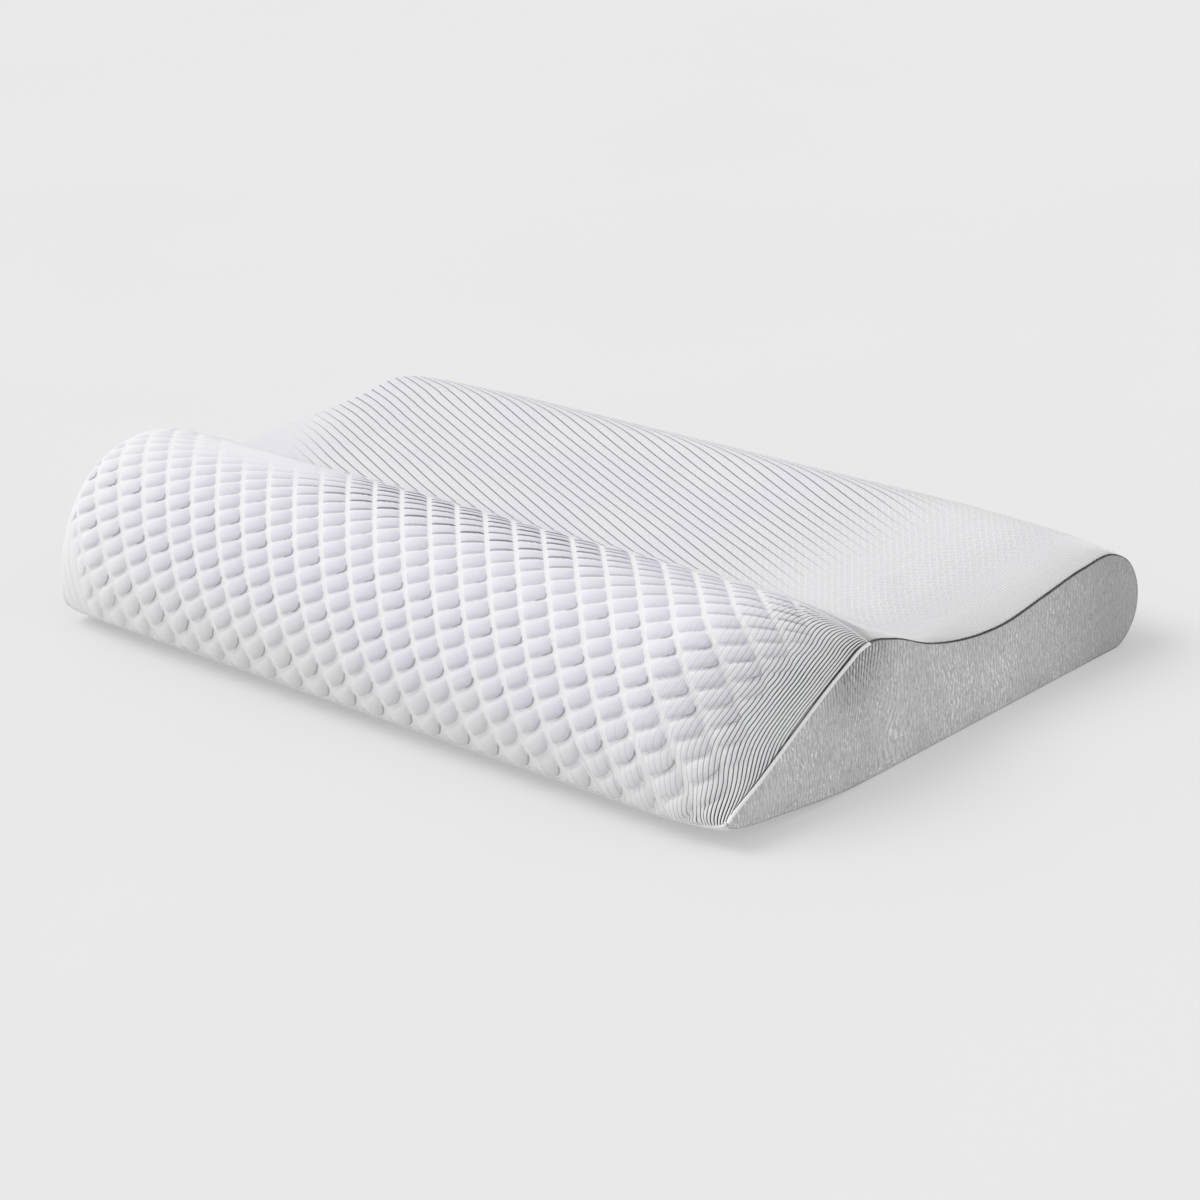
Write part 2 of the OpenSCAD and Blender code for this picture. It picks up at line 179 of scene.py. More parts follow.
def positions(a, b, pitch, section=0.0):
    """Positions from a to b, evenly spaced along the outline of one section."""
    k = np.linspace(a, b, 4001)
    p = outline(k, section)
    s = run(p)
    n = max(2, round(s[-1] / pitch) + 1)
    return np.interp(np.linspace(0, s[-1], n), s, k)


def cloth_coordinates(p, ks):
    """Distances in the cloth, mm: across from the middle section, up it, and in from each end."""
    across = np.cumsum(np.linalg.norm(np.diff(p, axis=0, prepend=p[:1]), axis=2), 0)
    middle = int(np.argmin(np.abs(p[:, 0, 0])))
    up = run(p[middle])
    ks = np.broadcast_to(ks, p.shape[:2])
    own = ks[middle]
    beyond = np.maximum(ks - own[-1], 0) * (up[-1] - up[-2]) / (own[-1] - own[-2])
    beyond += np.minimum(ks - own[0], 0) * (up[1] - up[0]) / (own[1] - own[0])
    up = np.interp(ks, own, up) + beyond
    return across - across[middle], up, across, across[-1] - across


# ---- meshes


def mesh_object(name, verts, faces, uvs=None, floats=None):
    """A smooth-shaded object, with uvs, cloth coordinates in mm, and values at its points."""
    me = bpy.data.meshes.new(name)
    me.from_pydata(np.asarray(verts, float).reshape(-1, 3).tolist(), [], faces)
    me.update()
    if uvs is not None:
        loops = np.zeros(len(me.loops), np.int32)
        me.loops.foreach_get("vertex_index", loops)
        layer = me.uv_layers.new(name="cloth")
        scaled = (np.asarray(uvs) * UV_SCALE).astype(np.float32)
        layer.data.foreach_set("uv", scaled[loops].ravel())
    for key, values in (floats or {}).items():
        attribute = me.attributes.new(key, "FLOAT", "POINT")
        attribute.data.foreach_set("value", np.asarray(values, np.float32).ravel())
    me.polygons.foreach_set("use_smooth", [True] * len(me.polygons))
    me.validate()
    ob = bpy.data.objects.new(name, me)
    bpy.context.scene.collection.objects.link(ob)
    return ob


def grid_faces(n, m, base=0, flip=False):
    """Four-sided faces over a grid of n by m points, numbered from base."""
    i, j = np.meshgrid(np.arange(n - 1), np.arange(m - 1), indexing="ij")
    a = (i * m + j + base).ravel()
    quads = np.stack([a, a + m, a + m + 1, a + 1], 1)
    return quads[:, ::-1].tolist() if flip else quads.tolist()


def shell(name, outer, inner, uv, floats=None, step=6, flip=False):
    """A closed sheet: a fine outer face, a coarser inner one and a rim between them; flip turns
    its faces over."""
    floats = floats or {}
    if flip:
        outer, inner, uv = outer[::-1], inner[::-1], uv[::-1]
        floats = {key: values[::-1] for key, values in floats.items()}
    n, m = outer.shape[:2]
    ii = np.unique(np.append(np.arange(0, n, step), n - 1))
    jj = np.unique(np.append(np.arange(0, m, step), m - 1))
    back = inner[np.ix_(ii, jj)]
    base, w = n * m, len(jj)
    faces = grid_faces(n, m) + grid_faces(len(ii), w, base, True)
    for j, b in ((0, 0), (m - 1, w - 1)):
        for a in range(len(ii) - 1):
            edge = [i * m + j for i in range(ii[a], ii[a + 1] + 1)]
            face = edge + [base + (a + 1) * w + b, base + a * w + b]
            faces.append(face[::-1] if j == 0 else face)
    for i, a in ((0, 0), (n - 1, len(ii) - 1)):
        for b in range(w - 1):
            edge = [i * m + j for j in range(jj[b], jj[b + 1] + 1)]
            face = edge + [base + a * w + b + 1, base + a * w + b]
            faces.append(face if i == 0 else face[::-1])

    def both(x):
        """Values at the outer points, then at the inner ones."""
        tail = x.shape[2:]
        return np.concatenate([x.reshape((-1,) + tail), x[np.ix_(ii, jj)].reshape((-1,) + tail)])

    verts = np.concatenate([outer.reshape(-1, 3), back.reshape(-1, 3)]) * MM
    return mesh_object(name, verts, faces, both(uv), {k: both(v) for k, v in floats.items()})


def ring_points(path, radius, sides, start, other):
    """Rings of points round a path, without twist, set square to start, or to other if the path
    sets out along start; radius may be one number or one for each point."""
    r = np.broadcast_to(np.asarray(radius, float), (len(path),))
    t = np.gradient(path, axis=0)
    t /= np.linalg.norm(t, axis=1)[:, None]
    side = np.cross(t[0], start if abs(t[0].dot(start)) < .9 else other)
    side /= np.linalg.norm(side)
    a = np.linspace(0, 2 * math.pi, sides, endpoint=False)
    rings = []
    for i, p in enumerate(path):
        side = side - t[i] * side.dot(t[i])
        side /= np.linalg.norm(side)
        up = np.cross(t[i], side)
        rings.append(p + r[i] * (np.cos(a)[:, None] * side + np.sin(a)[:, None] * up))
    return np.concatenate(rings), a


def ring_faces(n, sides):
    """Faces round n rings of points, closed at both ends."""
    faces = [[i * sides + j, i * sides + (j + 1) % sides, (i + 1) * sides + (j + 1) % sides,
              (i + 1) * sides + j] for i in range(n - 1) for j in range(sides)]
    return faces + [list(range(sides))[::-1], [(n - 1) * sides + j for j in range(sides)]]


# ---- cloth simulation of the whole cover


def closed_body(name, rest, rings=5):
    """A closed mesh through a skin's points, with an end cap of rings round one middle point."""
    n, m = rest.shape[:2]
    verts = [rest.reshape(-1, 3)]
    faces = [[i * m + j, (i + 1) * m + j, (i + 1) * m + (j + 1) % m, i * m + (j + 1) % m]
             for i in range(n - 1) for j in range(m)]
    count = n * m
    for i, right in ((0, False), (n - 1, True)):
        middle = np.array([rest[i, :, 0].mean(), Y_SHIFT + .1 * HALF_D, .55 * END_VALLEY_H])
        outer = [i * m + j for j in range(m)]
        for ring in range(1, rings):
            verts.append(rest[i] + (middle - rest[i]) * ring / rings)
            inner = list(range(count, count + m))
            count += m
            for j in range(m):
                q = [outer[j], outer[(j + 1) % m], inner[(j + 1) % m], inner[j]]
                faces.append(q if right else q[::-1])
            outer = inner
        verts.append(middle[None])
        for j in range(m):
            q = [outer[j], outer[(j + 1) % m], count]
            faces.append(q if right else q[::-1])
        count += 1
    verts = np.concatenate(verts)
    return mesh_object(name, verts * MM, faces, verts[:, :2])


SIM_FRAMES, SIM_PRESSURE, SWELL_LIMITS, SWELL_SHARE = 20, 4, (-2.0, 4.0), .6


def swell_field():
    """How far the cover puffs out between its seams, by section and position, in mm."""
    ts, ks = sections(11.0), np.concatenate([positions(0, LAST, 9.0), [20.25, 20.5, 20.75]])
    rest = skin(ts, ks, 1.0)
    n, m = len(ts), len(ks)
    ob = closed_body("cover_trial", rest)
    pinned = ob.vertex_groups.new(name="seams")
    seams = [int(np.argmin(np.abs(ks - k))) for k in (TOE, CREST)]
    under = [j for j, k in enumerate(ks) if k >= 19.5 or k <= 1]
    held = [i * m + j for i in range(n) for j in seams + under]
    held += [i * m + j for i in (0, n - 1) for j in range(m)]
    pinned.add(sorted(set(held)), 1.0, "REPLACE")
    cloth = ob.modifiers.new("cloth", "CLOTH")
    s = cloth.settings
    s.quality = 6
    s.mass = 0.3
    s.tension_stiffness = s.compression_stiffness = 12
    s.shear_stiffness = 6
    s.bending_stiffness = 0.6
    s.use_pressure = True
    s.uniform_pressure_force = SIM_PRESSURE
    s.vertex_group_mass = "seams"
    s.effector_weights.gravity = 0
    cloth.collision_settings.use_collision = False
    cloth.point_cache.frame_start, cloth.point_cache.frame_end = 1, SIM_FRAMES
    scene = bpy.context.scene
    for f in range(1, SIM_FRAMES + 1):
        scene.frame_set(f)
    bpy.context.view_layer.objects.active = ob
    bpy.ops.object.modifier_apply(modifier="cloth")
    co = np.zeros(len(ob.data.vertices) * 3)
    ob.data.vertices.foreach_get("co", co)
    bpy.data.objects.remove(ob)
    scene.frame_set(1)
    moved = (co.reshape(-1, 3)[:n * m] / MM).reshape(n, m, 3) - rest
    out = (moved * normals(rest)).sum(2)
    return ts, ks, np.clip(out, *SWELL_LIMITS)


def spread(field, ts, ks):
    """The share of the swelling that the cover takes, in mm, at other sections and positions."""
    ks = np.broadcast_to(np.asarray(ks, float), (len(ts), np.shape(ks)[-1]))
    if field is None:
        return np.zeros(ks.shape)
    ft, fks, f = field
    k = wrap(ks)
    rows = np.stack([np.interp(ts, ft, f[:, j]) for j in range(f.shape[1])], 1)
    return np.stack([np.interp(k[i], fks, row) for i, row in enumerate(rows)]) * SWELL_SHARE


swell = swell_field()

# ---- relief

# Bubbles repeat every CELL_W across; columns lean and rows rise by these shares of a bubble per mm
# of height up the cloth, so the columns are steep at the toe and lean at 45 degrees by the crest.
CELL_W, ROW_STEP, NET_U = 25.0, -.2, 1.09
HEIGHTS = (0, 25, 50, 82, 117, 145, 170, 190)
COLUMN_LEAN = (.012, .0125, .022, .029, .039, .044, .044, .044)
ROW_RISE = (.050, .0565, .068, .073, .060, .075, .115, .13)


def lattice(p, q):
    """Column and row numbers of the bubbles, whole at their middles, at points in the cloth."""
    s = np.linspace(-20, 300, 1281)
    lean, rise = (np.concatenate([[0], np.cumsum(np.interp(s, HEIGHTS, rate)[1:] * np.diff(s))])
                  for rate in (COLUMN_LEAN, ROW_RISE))
    return p / CELL_W + np.interp(q, s, lean), p / CELL_W - np.interp(q, s, rise)


def cells(column, row):
    """Where each point lies in its own bubble, (u, v) from -1 to 1, and that bubble's numbers."""
    i = np.round(column)
    row = row + ROW_STEP * (column - i)
    j = np.round(row)
    return 2 * (column - i), 2 * (row - j), i, j


def bubble(u, v, trim):
    """Share of the way from a bubble's middle to its rim: its left and right corners are cut off."""
    return (np.abs(u * NET_U) ** 8 + np.abs(v) ** 8 + np.abs((u + v) / 2 * trim) ** 8) ** (1 / 8)


def noise(shape, seed, cell):
    """Smooth random field from -1 to 1, with a new value about every cell points."""
    rng = np.random.default_rng(seed)
    n, m = max(2, int(shape[0] / cell[0]) + 2), max(2, int(shape[1] / cell[1]) + 2)
    g = rng.uniform(-1, 1, (n, m))
    x, y = np.linspace(0, n - 1.001, shape[0]), np.linspace(0, m - 1.001, shape[1])
    i, j = x.astype(int), y.astype(int)
    u, v = (x - i)[:, None], (y - j)[None]
    u, v = u * u * (3 - 2 * u), v * v * (3 - 2 * v)
    top = g[np.ix_(i, j)] * (1 - v) + g[np.ix_(i, j + 1)] * v
    low = g[np.ix_(i + 1, j)] * (1 - v) + g[np.ix_(i + 1, j + 1)] * v
    return top * (1 - u) + low * u


# Number of ribs, their widest spacing, the length over which they close up, and how far past the
# crest they meet, in mm.
RIBS, RIB_PITCH, RIB_FAN, RIB_END = 38, 2.75, 14.0, 13.0
BUBBLE_H, BUBBLE_H_LOST = 2.7, 1.6  # bubble height, and how much of it is lost by the crest


def rib_turns(q, top, from_right):
    """Turns of the fan of fine ribs by the right seam, which meet past the crest, and their pitch."""
    width = RIBS * RIB_PITCH * (1 - np.exp(-np.maximum(top + RIB_END - q, .5) / RIB_FAN))
    width = width * (.74 + .26 * smooth(q, 0, 60))
    share = (from_right + 18 * (1 - smooth(q, 0, 70))) / width
    turns = RIBS * share / (1 + share ** 3) ** (1 / 3)
    across = np.gradient(turns, axis=0) / np.gradient(from_right, axis=0)
    along = np.gradient(turns, axis=1) / np.gradient(q, axis=1)
    return turns, 1 / np.hypot(across, along)


def front_cover():
    """The front cloth: bubbles over its middle, plain and slit at the left, ribbed at the right."""
    ts = sections(1.8, .44)
    ks = np.concatenate([positions(TOE + .03, 6.9, 1.3), positions(6.9, CREST - .04, .8)[1:]])
    base = skin(ts, ks)
    n = normals(base)
    p, q, from_left, from_right = cloth_coordinates(base, ks)
    top = q[0, -1]
    column, row = lattice(p, q)
    u, v, i, j = cells(column, row)
    low, high = 1 - smooth(q, 20, 100), smooth(q, top - 85, top - 40)
    trim = 1.12 + .34 * low
    rim = bubble(u, v, trim)
    seed = np.sin(1.7 * i + 2.3 * j)
    edge_low = 1 - smooth(q, 30, 110)
    near_left = smooth(from_left + 3 * np.sin(q / 9), 10 + 18 * edge_low, 24 + 24 * edge_low)
    pale = smooth(q, top - 52, top - 12) * smooth(p, -262, -205) * (1 - smooth(p, -150, -60))
    middle = smooth(q, 15, 80)
    strength = near_left * (1 - pale) * smooth(from_right, 6 + 16 * middle, 22 + 30 * middle)
    strength = strength * smooth(q, .5, 5)
    puff = np.clip(1 - (rim / .97) ** 4, 0, 1) ** .8
    height = (BUBBLE_H - BUBBLE_H_LOST * high) * puff * (1 + .3 * (u + v) / 2)
    height = height * (.88 + .12 * seed) * strength

    turns, pitch = rib_turns(q, top, from_right)
    sway = .24 * noise(p.shape, 29, (60, 16)) + .07 * noise(p.shape, 37, (12, 7))
    turns = turns + sway * smooth(q, 8, 60)
    wave = np.abs(np.cos(math.pi * turns)) ** .75
    near = fade(from_right, 26 + 20 * middle, 2.2)
    faint = fade(from_right, 70 + 60 * (1 - middle)) * (1 - .5 * high)
    open_pitch = smooth(pitch, .6, 1.3)
    height += (.22 * faint + .85 * near) * open_pitch * (wave - .75)
    slit = (1 - near_left) * np.exp(-((from_left - 7 - 3 * np.sin(q / 23)) % 9 - 4.5) ** 2 / .5)
    height -= .35 * slit * smooth(from_left, 2, 5)
    height += .25 * noise(p.shape, 3, (26, 20)) * near_left
    hem = smooth(q, 0, 2.5) * smooth(top - q, 0, 2.0)
    height = height * hem - .35 * (1 - smooth(from_right, .2, 1.6))
    height += spread(swell, ts, ks)
    out = base + n * height[..., None]
    out[..., 2] = np.maximum(out[..., 2], .4)

    patchy = .8 + .35 * noise(p.shape, 31, (50, 30))
    # Where the bubbles near the crest get painted shadow strokes on their lower-right sides.
    shadow_dashes = smooth(q, top - 66, top - 30) * smooth(p, -175, -40) * (1 - .65 * smooth(p, 90, 190))
    marks = {"column": column, "row": row, "turns": turns, "trim": trim,
             "bubbles": strength, "high": high, "shadow_dashes": shadow_dashes,
             "plain": .9 * (1 - near_left), "slit": .14 * slit,
             # Painted shade in the hollows between the ribs, and how far it reaches.
             "ribs": np.clip((1.75 * near * patchy + .30 * faint) * open_pitch, 0, 3),
             "depth": .42 + .34 * near * patchy,
             # Painted light near both ends.
             "painted_light": np.maximum(.90 * fade(from_right, 85), .95 * fade(from_left, 95)),
             # Painted shadow line beside the piping.
             "piping_shadow": fade(from_right, 1.3) * smooth(q, 18, 60) * smooth(top - q, 0, 25)}
    return shell("cover_front", out, base - n * COVER_T, np.stack([p, q], -1), marks)


# Half-lengths of the zip opening in mm, the distance over which it closes, and half its height
# in outline positions, open and closed.
OPEN_LOWER, OPEN_UPPER, CLOSING, OPEN_HALF, SHUT_HALF = 231.5, 229.5, 5.5, .18, .003


def zip_edge(ts, side):
    """Position of a cover edge in each section: clear of the zip, and closed up beyond its ends."""
    x = np.array([float(place(np.array([ZIP]), t)[0]) for t in ts])
    end = OPEN_LOWER if side > 0 else OPEN_UPPER
    return ZIP + side * (OPEN_HALF * (1 - smooth(np.abs(x), end, end + CLOSING)) + SHUT_HALF)


STRIPE_PITCH, STRIPE_SLOPE = 7.7, math.tan(math.radians(23.5))


def top_cover():
    """The top cloth, crest to zip: pinstripe grooves, a plain band and the ends of the ribs."""
    ts = sections(2.3, 1.6)
    start = CREST + .04
    ks = positions(start, ZIP, 1.3)
    ks = start + (ks - start)[None] * (zip_edge(ts, -1)[:, None] - start) / (ZIP - start)
    base = skin(ts, ks)
    n = normals(base)
    p, q, from_left, from_right = cloth_coordinates(base, ks)
    line = (q + p * STRIPE_SLOPE) / STRIPE_PITCH
    off = np.abs(line - np.round(line)) * STRIPE_PITCH * math.cos(math.atan(STRIPE_SLOPE))
    stripes = (1 - smooth(p, 135, 225)) * smooth(p + .9 * q, -190, -132)
    height = -.38 * fade(off, .9) * stripes + .12 * (off / 4.1) ** .5 * stripes
    fine = smooth(p, 105, 180) * smooth(from_right, 12, 48) * smooth(q, 10, 40)
    height += .3 * noise(p.shape, 11, (34, 40))
    hem = smooth(q, 0, 2.5) * smooth(from_right, -1, 3) * smooth(from_left, -1, 3)
    turns, pitch = rib_turns(q, 0, from_right)
    ribs = smooth(pitch, .25, .8) * fade(from_right, 55) * (1 - smooth(q, .6 * RIB_END, RIB_END))
    height += .3 * ribs * (np.abs(np.cos(math.pi * turns)) - .7)
    height = height * hem + spread(swell, ts, ks)
    return shell("cover_top", base + n * height[..., None], base - n * COVER_T,
                 np.stack([p, q], -1),
                 # The band is a plain pale border of the cloth, painted paler still as painted light;
                 # ribs sets painted shade in the hollows between the rib ends.
                 {"stripes": stripes, "fine": fine, "band": 1 - smooth(from_right, 6, 46),
                  "turns": turns, "ribs": ribs})


def base_cover():
    """The plain cloth from the zip round the back, under the pillow and up to the toe seam."""
    ts = sections(2.3, 1.6)
    ks = np.concatenate([positions(ZIP, LAST, 4.0), np.linspace(LAST, LAST + 1, 70)[1:-1],
                         positions(0, TOE - .03, 3.0) + LAST + 1])
    ks = LAST - (LAST - ks)[None] * np.where(
        ks[None] < LAST, (LAST - zip_edge(ts, 1)[:, None]) / (LAST - ZIP), 1)
    base = skin(ts, ks)
    n = normals(base)
    p, q, _, _ = cloth_coordinates(base, ks)
    height = .12 * noise(p.shape, 5, (9, 9)) + spread(swell, ts, ks)
    out = base + n * (height * smooth(q, 0, 6))[..., None]
    out[..., 2] = np.maximum(out[..., 2], 0.0)
    inner = base - n * COVER_T
    inner[..., 2] = np.where(base[..., 2] < 1, COVER_T, inner[..., 2])
    return shell("cover_base", out, inner, np.stack([p, q], -1))


# ---- materials


class Nodes:
    """A Principled material and short ways to add nodes to it."""

    def __init__(self, name, colour, roughness=.9, **constants):
        self.material = bpy.data.materials.new(name)
        self.material.use_nodes = True
        self.tree = self.material.node_tree
        self.shader = self.tree.nodes["Principled BSDF"]
        self.shader.inputs["Base Color"].default_value = (*colour, 1)
        self.shader.inputs["Roughness"].default_value = roughness
        for key, value in constants.items():
            self.shader.inputs[key.replace("_", " ")].default_value = value

    def put(self, socket, value):
        """Link a socket to an input, or set the input's value."""
        if isinstance(value, bpy.types.NodeSocket):
            self.tree.links.new(value, socket)
        else:
            socket.default_value = value

    def math(self, operation, *values, clamp=False):
        """The result of one operation on sockets or numbers."""
        node = self.tree.nodes.new("ShaderNodeMath")
        node.operation = operation
        node.use_clamp = clamp
        for socket, value in zip(node.inputs, values):
            self.put(socket, value)
        return node.outputs[0]

    def times(self, *values, clamp=False):
        """The product of sockets or numbers, taken from the left."""
        return functools.reduce(lambda a, b: self.math("MULTIPLY", a, b, clamp=clamp), values)

    def plus(self, *values):
        """Their sum."""
        return functools.reduce(lambda a, b: self.math("ADD", a, b), values)

    def mix(self, factor, a, b):
        """A colour between a, at factor 0, and b, at factor 1."""
        node = self.tree.nodes.new("ShaderNodeMix")
        node.data_type = "RGBA"
        self.put(node.inputs[0], factor)
        for socket, value in ((node.inputs[6], a), (node.inputs[7], b)):
            self.put(socket, (*value, 1) if isinstance(value, tuple) else value)
        return node.outputs[2]

    def attribute(self, name):
        """A value stored at the mesh's points."""
        node = self.tree.nodes.new("ShaderNodeAttribute")
        node.attribute_name = name
        return node.outputs["Fac"]

    def cloth(self):
        """(across, up) in mm along the cloth."""
        uv = self.tree.nodes.new("ShaderNodeUVMap")
        uv.uv_map = "cloth"
        split = self.tree.nodes.new("ShaderNodeSeparateXYZ")
        self.tree.links.new(uv.outputs[0], split.inputs[0])
        return [self.times(part, 1 / UV_SCALE) for part in split.outputs[:2]]

    def noise(self, scale, detail=3.0, stretch=(1, 1, 1)):
        """Noise over the object, scale features to the metre."""
        place = self.tree.nodes.new("ShaderNodeMapping")
        place.inputs["Scale"].default_value = stretch
        points = self.tree.nodes.new("ShaderNodeTexCoord").outputs["Object"]
        self.tree.links.new(points, place.inputs["Vector"])
        node = self.tree.nodes.new("ShaderNodeTexNoise")
        node.inputs["Scale"].default_value = scale
        node.inputs["Detail"].default_value = detail
        self.tree.links.new(place.outputs[0], node.inputs["Vector"])
        return node.outputs[0]

    def remap(self, value, a, b, c=0.0, d=1.0):
        """A soft step from c where value is a to d where it is b."""
        node = self.tree.nodes.new("ShaderNodeMapRange")
        node.interpolation_type = "SMOOTHSTEP"
        for socket, x in zip(node.inputs[:5], (value, a, b, c, d)):
            self.put(socket, x)
        return node.outputs[0]

    def bump(self, height, distance, strength):
        """Fine relief in the shading, distance in metres."""
        node = self.tree.nodes.new("ShaderNodeBump")
        node.inputs["Distance"].default_value = distance
        node.inputs["Strength"].default_value = strength
        self.put(node.inputs["Height"], height)
        self.put(self.shader.inputs["Normal"], node.outputs[0])

    def stitches(self, across, up, wale=1.5, course=1.2):
        """Height of a plain knit: columns of loops that lean left and right in turn."""
        lean = self.math("SINE", self.times(up, 2 * math.pi / course))
        phase = self.times(across, 2 * math.pi / wale)
        return self.math("SINE", self.plus(phase, self.times(lean, .9)))

    def colour(self, value):
        """Use a colour as the surface colour."""
        self.put(self.shader.inputs["Base Color"], value)


def bubble_knit():
    """White net round raised lilac and grey bubbles, with painted shade and shadow on each bubble,
    dark strokes of painted shadow by the crest, and painted shade between the ribs.
    """
    m = Nodes("bubble_knit", (.80, .80, .83), .88, Sheen_Weight=.1, Sheen_Roughness=.5)
    across, up = m.cloth()
    column, row = m.attribute("column"), m.attribute("row")
    i = m.math("ROUND", column)
    off = m.math("SUBTRACT", column, i)
    row = m.math("MULTIPLY_ADD", off, ROW_STEP, row)
    j = m.math("ROUND", row)
    u = m.times(off, 2.0)
    v = m.times(m.math("SUBTRACT", row, j), 2.0)
    both = m.times(m.plus(u, v), .5)
    corner = m.times(both, m.attribute("trim"))
    eighths = [m.math("POWER", m.math("ABSOLUTE", x), 8.0)
               for x in (m.times(u, NET_U), v, corner)]
    rim = m.math("POWER", m.plus(*eighths), .125)
    seed = m.math("SINE", m.plus(m.times(i, 4.1), m.times(j, 1.9)))
    rim = m.plus(rim, m.remap(m.noise(900, 2), .3, .7, -.012, .012))
    bubbles, high = m.attribute("bubbles"), m.attribute("high")
    net = m.remap(rim, .89, .95)
    # Painted shade: each bubble runs from the pale lit colour at its upper-left to the darker face
    # colour at its lower-right, as if lit from the upper left.
    painted_bubble_shade = m.remap(m.plus(m.times(u, .42), m.times(v, .58)), -.95, .85)
    painted_bubble_shade = m.times(painted_bubble_shade, m.math("SUBTRACT", 1.0, net), bubbles)
    # Painted shadow: a thin dark line along the lower-right rim of each bubble.
    edge = m.times(m.remap(rim, .82, .90), m.remap(rim, .98, .93), m.remap(both, .40, .58),
                   m.remap(seed, -1, 1, .08, .62), m.math("SUBTRACT", 1.0, high))
    # Painted shadow: dark strokes on the lower-right side of the bubbles near the crest, whose shaded
    # sides are seen edge-on there.
    shadow_dash = m.times(m.remap(v, .62, .70), m.remap(v, .94, .88),
                   m.remap(m.math("ABSOLUTE", u), .88, .80),
                   m.attribute("shadow_dashes"), m.remap(seed, -1, 1, .75, 1.05))
    # Gathers the painted shadows, and a little darkening of the slit grooves, for the near-black
    # colour below.
    dark = m.times(m.math("MAXIMUM", shadow_dash, edge), bubbles)
    dark = m.math("MAXIMUM", dark, m.attribute("slit"))
    # Painted shade: near-black in the hollows between the ribs by the right seam, with a painted
    # shadow line beside the piping.
    wave = m.math("POWER", m.math("ABSOLUTE", m.math(
        "COSINE", m.times(m.attribute("turns"), math.pi))), .75)
    valley = m.times(m.math("SUBTRACT", m.attribute("depth"), wave), 3.4, clamp=True)
    valley = m.times(valley, m.attribute("ribs"), clamp=True)
    valley = m.math("MAXIMUM", valley, m.attribute("piping_shadow"))
    net = m.math("MAXIMUM", m.times(net, bubbles), m.attribute("plain"))

    lilac = m.remap(m.plus(up, m.times(m.noise(7, 2), 90.0)), 60, 115)
    face = m.mix(lilac, (.68, .68, .685), (.66, .645, .72))
    lit = m.mix(lilac, (.87, .87, .875), (.86, .85, .905))
    # Painted light: the cloth is made paler, and its painted bubble shade weaker, near both ends.
    painted_light = m.attribute("painted_light")
    lit = m.mix(painted_light, lit, (.97, .97, .98))
    colour = m.mix(m.times(painted_bubble_shade, m.math("MULTIPLY_ADD", painted_light, -.45, 1.0)), lit, face)
    colour = m.mix(net, colour, (.915, .915, .925))
    colour = m.mix(m.times(m.noise(900, 2), .12), colour, (.58, .58, .61))
    colour = m.mix(m.times(dark, .95), colour, (.15, .15, .17))
    m.colour(m.mix(valley, colour, (.03, .03, .04)))
    m.bump(m.plus(m.stitches(across, up), m.noise(1400, 2)), .00022, .55)
    return m.material


def pinstripe_knit():
    """Pale knit with fine dark stripes in its grooves and a diamond weave by the right end."""
    m = Nodes("pinstripe_knit", (.80, .80, .83), .9, Sheen_Weight=.1, Sheen_Roughness=.5)
    across, up = m.cloth()
    line = m.math("DIVIDE", m.plus(up, m.times(across, STRIPE_SLOPE)), STRIPE_PITCH)
    off = m.math("ABSOLUTE", m.math("SUBTRACT", line, m.math("ROUND", line)))
    off = m.times(off, STRIPE_PITCH * math.cos(math.atan(STRIPE_SLOPE)))
    stripe = m.times(m.remap(off, .60, .25), m.attribute("stripes"))
    bend = m.math("PINGPONG", up, 3.0)
    diamond = m.math("MAXIMUM", *(
        m.math("SINE", m.times(m.plus(across, m.times(bend, way)), 2 * math.pi / 5.2))
        for way in (1.1, -1.1)))
    diamond = m.times(m.remap(diamond, .35, .95), m.attribute("fine"))
    plain = m.mix(m.remap(m.noise(14, 2), .35, .65), (.785, .78, .825), (.81, .81, .835))
    plain = m.mix(m.attribute("fine"), plain, (.76, .76, .775))
    plain = m.mix(diamond, plain, (.83, .83, .84))
    # A plain pale band by the right seam, painted paler as painted light where the cloth turns from
    # the lamp.
    plain = m.mix(m.attribute("band"), plain, (.92, .92, .925))
    plain = m.mix(m.times(m.noise(800, 2), .10), plain, (.6, .6, .64))
    # Painted shade in the hollows between the ends of the ribs.
    wave = m.math("ABSOLUTE", m.math("COSINE", m.times(m.attribute("turns"), math.pi)))
    valley = m.times(m.math("SUBTRACT", 1.0, wave), m.attribute("ribs"))
    plain = m.mix(valley, plain, (.10, .10, .12))
    m.colour(m.mix(m.times(stripe, .9), plain, (.14, .14, .17)))
    knit = m.plus(m.stitches(across, up), m.noise(1400, 2))
    m.bump(m.plus(knit, m.times(diamond, 2.0)), .0002, .6)
    return m.material


def plain_knit(name, a, b):
    """A plain knit, mottled between two near-white colours."""
    m = Nodes(name, a, .9, Sheen_Weight=.2, Sheen_Roughness=.5)
    across, up = m.cloth()
    colour = m.mix(m.remap(m.noise(12, 3), .35, .65), a, b)
    m.colour(m.mix(m.times(m.noise(900, 2), .15), colour, tuple(.7 * x for x in a)))
    m.bump(m.plus(m.stitches(across, up), m.noise(1300, 2)), .0002, .6)
    return m.material


